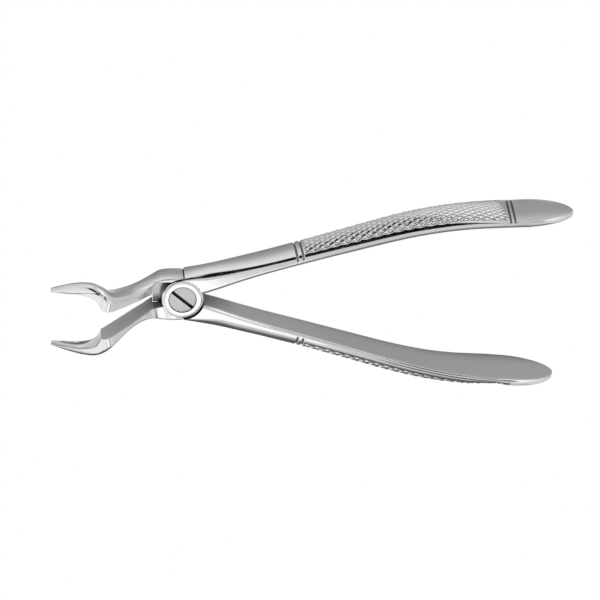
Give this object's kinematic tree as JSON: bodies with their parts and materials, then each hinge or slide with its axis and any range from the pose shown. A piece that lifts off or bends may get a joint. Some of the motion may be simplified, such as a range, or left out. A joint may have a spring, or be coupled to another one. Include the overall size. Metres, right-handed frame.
{
  "type": "extraction forceps",
  "caption": "Bayonet dental extraction forceps with curved checkered handles, a slotted screw lap joint and hollow offset beaks, shown open.",
  "frame": {"origin": "on the pivot axis, at the flat back face of the joint", "axes": "+X towards the handle ends, midway between the open handles; +Z along the pivot out of the screw head, the side the beaks are offset to; +Y towards the handle of the half that holds the screw head"},
  "size_m": [0.1756, 0.0648, 0.0349],
  "materials": {
    "polished_steel": "mirror-polished stainless steel, satin on the inner faces",
    "screw_steel": "fine-turned stainless steel"
  },
  "bodies": {
    "far_side": {"far_half": "polished_steel", "pivot_screw": "screw_steel"},
    "near_side": {"near_half": "polished_steel"}
  },
  "joints": [
    {"name": "hinge", "type": "hinge", "parent": "far_side", "child": "near_side", "pos_m": [0, 0, 0.005], "axis": [0, 0, 1], "range_deg": [-21.4, 2.4]}
  ]
}
